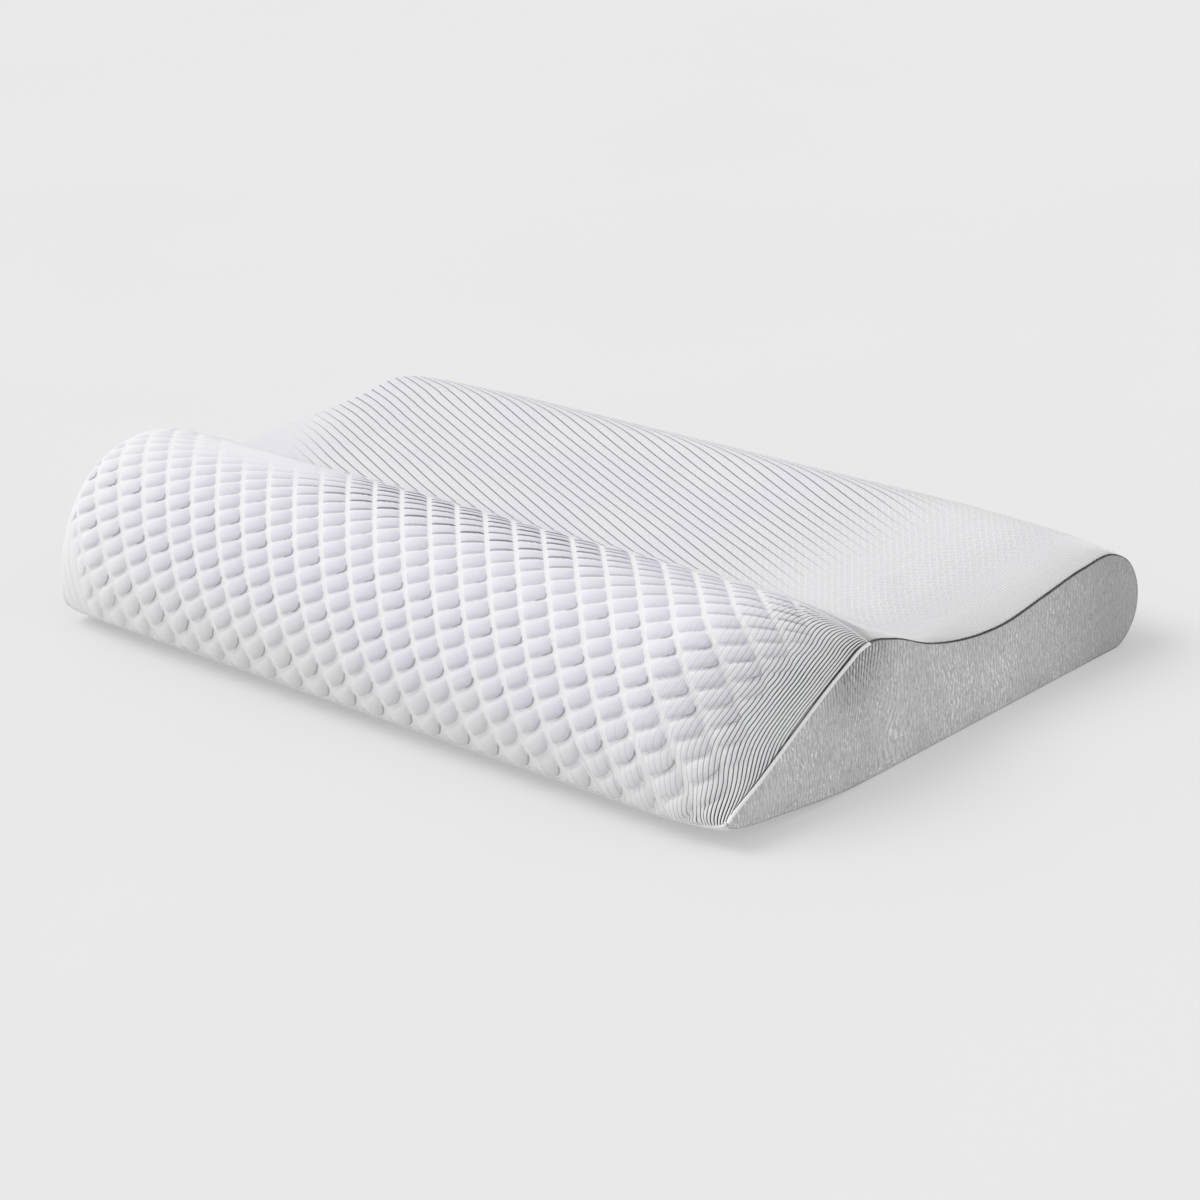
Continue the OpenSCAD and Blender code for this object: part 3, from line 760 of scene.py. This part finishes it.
def heather_knit():
    """Grey marl of the ends: soft wales, pale flecks, and painted shade in the creases of the gathers
    under the crest and towards the back.
    """
    m = Nodes("grey_heather_knit", (.55, .55, .555), .92, Sheen_Weight=.1, Sheen_Roughness=.5)
    across, _ = m.cloth()
    sway = m.plus(m.times(m.noise(45, 2), 6.0), m.times(m.noise(240, 2), 3.4))
    wale = m.math("SINE", m.times(m.plus(across, sway), 2 * math.pi / 2.5))
    streak = m.noise(900, 3, (1, 1, .22))
    colour = m.mix(m.remap(m.noise(30, 2), .3, .7), (.62, .62, .625), (.69, .69, .695))
    colour = m.mix(m.remap(wale, -.2, 1, 0, .42), colour, (.42, .42, .425))
    colour = m.mix(m.remap(streak, .48, .62, 0, .5), colour, (.36, .36, .365))
    colour = m.mix(m.times(m.attribute("net"), .12), colour, (.85, .85, .86))
    fleck = m.times(m.remap(m.noise(1000, 2, (1, 1, .34)), .54, .62), m.remap(wale, .7, -.5),
                    m.remap(m.noise(38, 2), .40, .62, .25, .9))
    colour = m.mix(fleck, colour, (.96, .96, .97))
    # Painted shade: the end grows darker towards the back.
    colour = m.mix(m.attribute("shade"), colour, (.30, .30, .305))
    # Painted shade in the creases of the gathers.
    colour = m.mix(m.times(m.attribute("valley"), .9), colour, (.07, .07, .075))
    m.colour(colour)
    m.bump(m.math("SUBTRACT", m.times(streak, 2), wale), .0003, .6)
    return m.material


def cord_material(name, a, b, pitch, under=None):
    """A twisted thread or bias-cut binding, in another colour where it runs underneath."""
    m = Nodes(name, a, .85, Sheen_Weight=.2)
    across, up = m.cloth()
    twist = m.math("SINE", m.times(m.plus(across, up), 2 * math.pi / pitch))
    colour = m.mix(m.remap(twist, -1, 1), a, b)
    m.colour(m.mix(m.attribute("under"), colour, under) if under else colour)
    m.bump(m.plus(twist, m.noise(1500, 2)), .00012, .6)
    return m.material


def foam_material():
    """Cream foam with fine open pores."""
    m = Nodes("memory_foam", (.86, .82, .70), .95, Subsurface_Weight=.1)
    pores = m.noise(700, 4)
    m.colour(m.mix(m.remap(pores, .3, .7), (.80, .75, .62), (.90, .86, .75)))
    m.bump(pores, .0004, .7)
    return m.material


def metal(name, a, b, roughness=.35):
    """Metal brushed along x, between two greys."""
    m = Nodes(name, a, roughness, Metallic=1.0)
    brushed = m.noise(500, 3, (.08, 1, 1))
    m.colour(m.mix(m.remap(brushed, .35, .65), a, b))
    m.put(m.shader.inputs["Roughness"], m.remap(brushed, .3, .7, roughness - .08, roughness + .12))
    m.bump(brushed, .00004, .5)
    return m.material


def tape_material():
    """White twill with a herringbone, as woven for zip tape."""
    m = Nodes("zip_tape_weave", (.84, .84, .85), .85, Sheen_Weight=.15)
    across, up = m.cloth()
    bone = m.math("ABSOLUTE", m.math("SUBTRACT", m.math("FRACT", m.math("DIVIDE", up, 3.0)), .5))
    twill = m.math("SINE", m.times(m.plus(across, m.times(bone, 3.0)), 2 * math.pi / 1.1))
    m.colour(m.mix(m.remap(twill, -1, 1), (.76, .76, .775), (.87, .87, .875)))
    m.bump(twill, .00015, .8)
    return m.material


def satin():
    """Smooth white ribbon with a fine weave."""
    m = Nodes("label_satin", (.88, .88, .88), .45, Sheen_Weight=.3, Coat_Weight=.1)
    across, _ = m.cloth()
    weave = m.math("SINE", m.times(across, 2 * math.pi / .5))
    m.colour(m.mix(m.remap(m.noise(60, 2), .3, .7), (.84, .84, .84), (.90, .90, .89)))
    m.bump(weave, .00005, .5)
    return m.material


def nylon():
    """Glossy, slightly cloudy white plastic."""
    m = Nodes("coil_nylon", (.82, .82, .84), .4, Coat_Weight=.2, Coat_Roughness=.3)
    m.colour(m.mix(m.remap(m.noise(300, 2), .3, .7), (.76, .76, .79), (.86, .86, .87)))
    m.bump(m.noise(2500, 2), .00003, .5)
    return m.material


# ---- ends


def end_grid(side, d, columns, rows):
    """(y, z) points over one end inside its outline, and their distances from the nearest edge
    and down from the top one."""
    k = np.concatenate([np.linspace(0, LAST, 1601), np.linspace(LAST, LAST + 1, 101)[1:-1]])
    p = inset(k, 2.0 * side, d)
    front, rear = int(np.argmin(p[:, 0])), int(np.argmax(p[:, 0]))
    upper = p[front:rear + 1]
    lower = np.concatenate([p[rear:], p[:front + 1]])[::-1]
    a = (1 - np.cos(np.linspace(.045, math.pi - .045, columns))) / 2
    even = np.linspace(.0015, .9985, columns)
    y = p[front, 0] + (p[rear, 0] - p[front, 0]) * (.6 * a + .4 * even)
    z1 = np.interp(y, upper[:, 0], upper[:, 1])
    z0 = np.interp(y, lower[:, 0], lower[:, 1])
    share = np.linspace(0, 1, rows)
    share = .5 * share + .5 * (1 - np.cos(math.pi * share)) / 2
    z = z0[:, None] + (z1 - z0)[:, None] * share[None]
    slope = np.sqrt(1 + np.gradient(z1, y) ** 2)[:, None]
    edge = np.minimum((z1[:, None] - z) / slope, z - z0[:, None])
    edge = np.minimum(edge, np.minimum(y - p[front, 0], p[rear, 0] - y)[:, None] + .3)
    return np.broadcast_to(y[:, None], z.shape), z, edge, (z1[:, None] - z) / slope


def end_knit(side, word):
    """An end cloth, gathered into ribs below its top seam, with a faint net over the rest."""
    y, z, edge, below = end_grid(side, .7, 480, 110)
    u, v, _, _ = cells(*lattice(y * 1.25, z + 40))
    rim = bubble(u, v, 1.4)
    inner = smooth(edge, 5, 20)
    height = 2.2 * (1 - np.exp(-np.maximum(edge, 0) / 9)) - .9 + .4 * (.6 - rim ** 4) * inner
    front = fade(y + 72, 26)
    pull = fade(np.maximum(below, 0), 8 + 16 * front, 1.3) * (.06 + .94 * front)
    lean = y + 2.0 * np.sin(z / 17) + 1.1 * np.sin(z / 7 + y / 31) + .25 * below * front
    wave = np.abs(np.cos(math.pi * lean / 2.7)) ** .8
    height += .8 * pull * (wave - .5) * smooth(edge, .4, 2.5)
    height += .25 * noise(y.shape, 23 + side, (14, 16)) * inner
    out = np.stack([side * (X_END + END_T - .4 + height), y, z], -1)
    inn = np.stack([np.full(y.shape, side * X_END), y, z], -1)
    uv = np.stack([lean, z], -1)
    # The first two set painted shade: in the creases of the gathers, and darker towards the back.
    marks = {"valley": np.clip(pull * (1 - wave) * 1.9, 0, 1), "shade": .56 * smooth(y, 50, 180),
             "net": smooth(rim, .88, 1) * inner * (1 - pull)}
    return shell("end_knit_" + word, out, inn, uv, marks, 5, side < 0)


def seam_path(side, ks, d, x):
    """Points of one end's outline, d inside it, at x mm out from the middle."""
    p = inset(np.asarray(ks, float), 2.0 * side, d)
    return np.concatenate([np.full((len(p), 1), side * x), p], 1)


def strand(name, path, radius, lobes, pitch, depth, sides, floats=None):
    """A closed tube along points in mm, its surface winding round it like the plies of a thread
    or a bias-cut cover."""
    points, a = ring_points(path, radius, sides, (1, 0, 0), (0, 0, 1))
    length = run(path)
    wave = 1 + depth * np.cos(lobes * a - 2 * math.pi * length[:, None] / pitch)
    centre = np.repeat(path, sides, axis=0)
    points = centre + (points - centre) * wave.reshape(-1, 1)
    around = np.tile(a / (2 * math.pi) * UV_ROUND, len(path))
    uvs = np.stack([np.repeat(length, sides), around], 1)
    floats = {key: np.repeat(values, sides) for key, values in (floats or {}).items()}
    return mesh_object(name, points * MM, ring_faces(len(path), sides), uvs, floats)


def resample(path, pitch):
    """The same path in equal steps of about pitch."""
    path = np.asarray(path, float)
    s = run(path)
    at = np.linspace(0, s[-1], max(2, round(s[-1] / pitch) + 1))
    return np.stack([np.interp(at, s, path[:, c]) for c in range(3)], 1)


# ---- small pieces


def joined(name, parts):
    """One mesh from (points, faces, uvs) parts."""
    verts, faces, uvs, base = [], [], [], 0
    for v, f, uv in parts:
        verts.append(v)
        uvs.append(uv)
        faces += [[base + i for i in face] for face in f]
        base += len(v)
    return mesh_object(name, np.concatenate(verts) * MM, faces, np.concatenate(uvs))


def rod(path, radius, sides):
    """Points, faces and uvs of a round rod along points in mm."""
    points, a = ring_points(path, radius, sides, (0, 0, 1), (0, 1, 0))
    n = len(path)
    uv = np.stack([np.repeat(np.arange(n), sides), np.tile(a, n)], 1)
    return points, ring_faces(n, sides), uv


ZIP_L, ZIP_GAP, TAPE_W, TAPE_T, COIL_R = 460.0, 11.6, 12.0, .6, 1.1
STITCH_PITCH, STITCH_IN = 6.0, 3  # spacing of the stitches, and how far in from the cloth's edge
TAPE_IN, TAPE_OVER = .9, 3  # how far the tapes are from the zip's middle, and run past the coil
TAPE_Y = Y_BACK - COVER_T - TAPE_T
COIL_Y = Y_BACK - COVER_T + COIL_R


def zip_tape(side, word):
    """One woven tape, ribbed along its length."""
    end = ZIP_L / 2 + TAPE_OVER
    X, Z = np.meshgrid(np.linspace(-end, end, 467), np.linspace(TAPE_IN, TAPE_IN + TAPE_W, 25),
                       indexing="ij")
    rib = .09 * np.cos(math.pi * (Z - TAPE_IN)) * smooth(Z, 1.4, 2.4)
    out = np.stack([X, TAPE_Y + TAPE_T - .1 + rib, ZIP_Z + side * Z], -1)
    inn = np.stack([X, TAPE_Y + 0 * X, ZIP_Z + side * Z], -1)
    return shell("tape_" + word, out, inn, np.stack([X, Z], -1), None, 4, side > 0)


def zip_coil(side, word):
    """A nylon coil: one wire wound round and round, flattened where it is sewn to the tape."""
    wire, pitch, per_turn = .34, 1.3, 9
    turns = int((ZIP_L - 1) / pitch)
    a = np.arange(turns * per_turn + 1) * 2 * math.pi / per_turn
    x = -ZIP_L / 2 + .5 + a / (2 * math.pi) * pitch
    r = COIL_R - wire
    y = COIL_Y + r * np.maximum(np.cos(a), -.97)
    z = ZIP_Z + side * 1.7 + side * r * np.sin(a)
    return joined("coil_" + word, [rod(np.stack([x, y, z], 1), wire, 6)])


def zip_thread(side, word):
    """The row of stitches that holds one tape to the cloth."""
    count = int(ZIP_L // STITCH_PITCH)
    parts = []
    z = ZIP_Z + side * (ZIP_GAP / 2 + STITCH_IN)
    s = np.linspace(-1, 1, 9)
    for i in range(count):
        x = (i - (count - 1) / 2) * STITCH_PITCH
        path = np.stack([x + 2.1 * s, Y_BACK + .05 + .22 * (1 - s**4) - .25 * s**8,
                         z + .12 * s * (1 if i % 2 else -1)], 1)
        parts.append(rod(path, .2 * (1 - .35 * s**8), 7))
    return joined("thread_" + word, parts)


LABEL_X, LABEL_Z, LABEL_IN, LABEL_OUT = (-266, -240), (9, 33), .08, .42


def label():
    """The satin label on the back, held along its top edge and slightly curled below."""
    X, Z = np.meshgrid(np.linspace(*LABEL_X, 27), np.linspace(*LABEL_Z, 25), indexing="ij")
    share = (X - LABEL_X[0]) / (LABEL_X[1] - LABEL_X[0])
    wave = .5 * np.sin(share * math.pi) * smooth(LABEL_Z[1] - Z, 0, 20) + .05 * np.sin(Z / 3)
    out = np.stack([X, Y_BACK + LABEL_OUT + wave, Z], -1)
    inn = np.stack([X, Y_BACK + LABEL_IN + wave, Z], -1)
    return shell("label_satin_flap", out, inn, np.stack([X, Z], -1), None, 3, True)


def crest_strip():
    """The flatlock seam of the front and top cloths: a flat band crossed by slanting threads."""
    ts = sections(.8)
    ks = np.linspace(CREST - .045, CREST + .045, 9)
    base = skin(ts, ks)
    n = normals(base)
    p, q, _, _ = cloth_coordinates(base, ks)
    w = q / q.max() * 2 - 1
    height = .12 * (1 - w**4) + .07 * np.abs(np.sin((p + 1.4 * w) * math.pi / 1.9)) * (1 - w**2) - .1
    height += spread(swell, ts, ks)
    return shell("crest_flatlock", base + n * height[..., None], base - n * COVER_T,
                 np.stack([p, q], -1), None, 8)


TOE_R, PIPING_R, OVERLOCK_R, OVERLOCK_THIN = .85, 1.12, .25, .06
# How far in from the outline, and out from the end's flat, the piping and the overlock run.
PIPING_IN, PIPING_OUT, OVERLOCK_IN, OVERLOCK_OUT = .45, 1.45, {1: .45, -1: .9}, 1.1


def toe_tape():
    """The binding along the toe seam, sunk a little into the cloth."""
    ts = sections(1.4)
    line = skin(ts, np.array([TOE, TOE + .02]))
    n = skin(ts, np.array([TOE, TOE + .02]), -1.0)[:, 0] - line[:, 0]
    path = resample(line[:, 0] - n * .25, 1.2)
    return strand("toe_binding_cord", path, TOE_R, 1, 3.0, .05, 12)


# The liner lies LINER_GAP inside the cover, the foam as far inside the liner; at the back each
# also keeps clear of the zip.
LINER_GAP, LINER_T = .5, 1
LINER_BACK, LINER_CAP_BACK, FOAM_BACK = Y_BACK - 5.7, Y_BACK - 5.8, Y_BACK - 7.2


def foam_block():
    """The shaped foam inside the liner."""
    ts = sections(9.0)
    ks = np.concatenate([positions(0, LAST, 7.0), np.linspace(LAST, LAST + 1, 32)[1:-1]])
    inside = COVER_T + LINER_GAP + LINER_T + LINER_GAP
    return closed_body("foam_block", skin(ts, ks, inside, FOAM_BACK), 12)


def liner():
    """The knitted sleeve round the foam."""
    ts = sections(7.0)
    ks = np.concatenate([positions(0, LAST, 6.0), np.linspace(LAST, LAST + .995, 40)[1:]])
    d = COVER_T + LINER_GAP
    out = skin(ts, ks, d, LINER_BACK)
    inn = skin(ts, ks, d + LINER_T, LINER_BACK - LINER_T)
    n = out.shape[:2]
    uv = np.stack(np.meshgrid(np.arange(n[0]) * 7, np.arange(n[1]) * 6, indexing="ij"), -1)
    return shell("liner_tube", out, inn, uv, None, 1)


def liner_end(side, word):
    """The flat cap that closes one end of the sleeve."""
    y, z, _, _ = end_grid(side, COVER_T + LINER_GAP + .2, 60, 24)
    y = np.minimum(y, LINER_CAP_BACK)
    x = X_END - COVER_T - LINER_GAP
    out = np.stack([np.full(y.shape, side * x), y, z], -1)
    inn = np.stack([np.full(y.shape, side * (x - LINER_T + .1)), y, z], -1)
    uv = np.stack([y, z], -1)
    return shell("liner_cap_" + word, out, inn, uv, None, 1, side < 0)


# ---- build


def add(ob, material, replaced, body="pillow"):
    """Give a piece its material, and tell the frame what it rides, replaces and shows."""
    ob.data.materials.clear()
    ob.data.materials.append(material)
    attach(ob, body)
    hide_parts(*replaced)
    return ob


liner_knit = plain_knit("liner_stockinette", (.84, .84, .83), (.88, .88, .87))
heather = heather_knit()
binding = cord_material("white_binding", (.86, .86, .865), (.93, .93, .935), 2.6)
overlock = cord_material("grey_overlock", (.07, .07, .075), (.14, .14, .145), 1.8,
                         under=(.42, .42, .425))
thread = cord_material("sewing_thread", (.80, .80, .81), (.90, .90, .905), .9)
zinc = metal("brushed_zinc", (.62, .62, .63), (.74, .74, .75))

front = add(front_cover(), bubble_knit(), ["front_panel"])
top = add(top_cover(), pinstripe_knit(), ["top_panel"])
base = add(base_cover(), plain_knit("base_knit", (.78, .78, .79), (.83, .83, .84)),
           ["bottom_panel"])
crest = add(crest_strip(), cord_material("crest_flatlock", (.78, .78, .81), (.85, .85, .87), 1.9),
            ["crest_seam"])
toe = add(toe_tape(), binding, ["toe_binding"])
SIDES, ROWS = ((-1, "left"), (1, "right")), ((1, "upper"), (-1, "lower"))
for side, word in SIDES:
    add(end_knit(side, word), heather, [word + "_end_panel"])
    ks = np.linspace(TOE, CREST, 500)
    path = resample(seam_path(side, ks, PIPING_IN, X_END + PIPING_OUT), .8)
    add(strand("piping_" + word, path, PIPING_R, 1, 3.0, .05, 12), binding,
        [word + "_piping"])
    ks = np.concatenate([np.linspace(CREST, LAST, 1200), np.linspace(LAST, LAST + 1, 300)[1:-1],
                         np.linspace(0, TOE, 200) + LAST + 1])
    path = resample(seam_path(side, ks, OVERLOCK_IN[side], X_END + OVERLOCK_OUT), .45)
    under = smooth(np.arange(len(path)) / len(path), .48, .54)
    path[:, 2] = np.maximum(path[:, 2], .5)
    radius = OVERLOCK_R - OVERLOCK_THIN * under
    add(strand("overlock_" + word, path, radius, 2, 1.8, .14, 8, {"under": under}),
        overlock, [word + "_end_seam"])
label_piece = add(label(), satin(), ["care_label"])
tapes = [add(zip_tape(side, word), tape_material(), ["zip_tape_" + word])
         for side, word in ROWS]
for side, word in ROWS:
    add(zip_coil(side, word), nylon(), ["zip_coil_" + word])
    add(zip_thread(side, word), thread, ["zip_thread_" + word])
foam = add(foam_block(), foam_material(), ["foam_core"])
sleeve = add(liner(), liner_knit, ["liner_sleeve"])
caps = [add(liner_end(side, word), liner_knit, ["liner_%s_end" % word])
        for side, word in SIDES]
for name in ("zip_top_stops", "zip_bottom_stop", "zip_slider", "zip_pull_tab"):
    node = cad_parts[name]
    node.data.materials.clear()
    node.data.materials.append(zinc)
    bevel = node.modifiers.new("worn_edges", "BEVEL")
    bevel.width, bevel.segments, bevel.limit_method = .00022, 2, "ANGLE"

# ---- floor, light, camera


FLOOR_HALF, FLOOR_GLOW, SKY = 9, .26, .74
SUN_ENERGY, SUN_ANGLE, SUN_FROM = 1.25, math.radians(42), (-.95, -.62, 1.6)


def floor_material():
    """A pale seamless ground, lit a little from within to match the photo's flat white."""
    m = Nodes("pale_floor", (.51, .51, .51), .95, Emission_Color=(1, 1, 1, 1),
              Emission_Strength=FLOOR_GLOW)
    m.colour(m.mix(m.remap(m.noise(2.2, 3), .3, .7), (.505, .505, .505), (.515, .515, .515)))
    return m.material


corners = [(-1, -1, 0), (1, -1, 0), (1, 1, 0), (-1, 1, 0)]
floor = mesh_object("floor", np.array(corners) * FLOOR_HALF, [[0, 1, 2, 3]])
floor.data.materials.append(floor_material())

scene = bpy.context.scene
scene.world = bpy.data.worlds.new("studio")
scene.world.use_nodes = True
sky = scene.world.node_tree.nodes["Background"].inputs
sky["Color"].default_value, sky["Strength"].default_value = (1, 1, 1, 1), SKY
key = bpy.data.lights.new("key", "SUN")
key.energy, key.angle = SUN_ENERGY, SUN_ANGLE
key_ob = bpy.data.objects.new("key", key)
scene.collection.objects.link(key_ob)
key_ob.rotation_euler = Vector(SUN_FROM).to_track_quat("Z", "Y").to_euler()
scene.view_settings.view_transform = "Standard"

AZ, EL, ROLL = math.radians(46.11), math.radians(21.64), math.radians(-4.5)
DISTANCE, SHIFT_X, SHIFT_Y, LENS = 2.18201, .00989, .01835, 101.43
back = Vector((math.sin(AZ) * math.cos(EL), -math.cos(AZ) * math.cos(EL), math.sin(EL)))
right = (-back).cross(Vector((0, 0, 1))).normalized()
up = right.cross(-back)
right_r = right * math.cos(ROLL) + up * math.sin(ROLL)
up_r = up * math.cos(ROLL) - right * math.sin(ROLL)
where = back * DISTANCE + right_r * SHIFT_X + up_r * SHIFT_Y
camera = bpy.data.objects.new("camera", bpy.data.cameras.new("camera"))
camera.data.lens, camera.data.sensor_width = LENS, 36.0
camera.data.clip_end = 60
camera.matrix_world = Matrix(((right_r.x, up_r.x, back.x, where.x),
                              (right_r.y, up_r.y, back.y, where.y),
                              (right_r.z, up_r.z, back.z, where.z), (0, 0, 0, 1)))
scene.collection.objects.link(camera)
scene.camera = camera
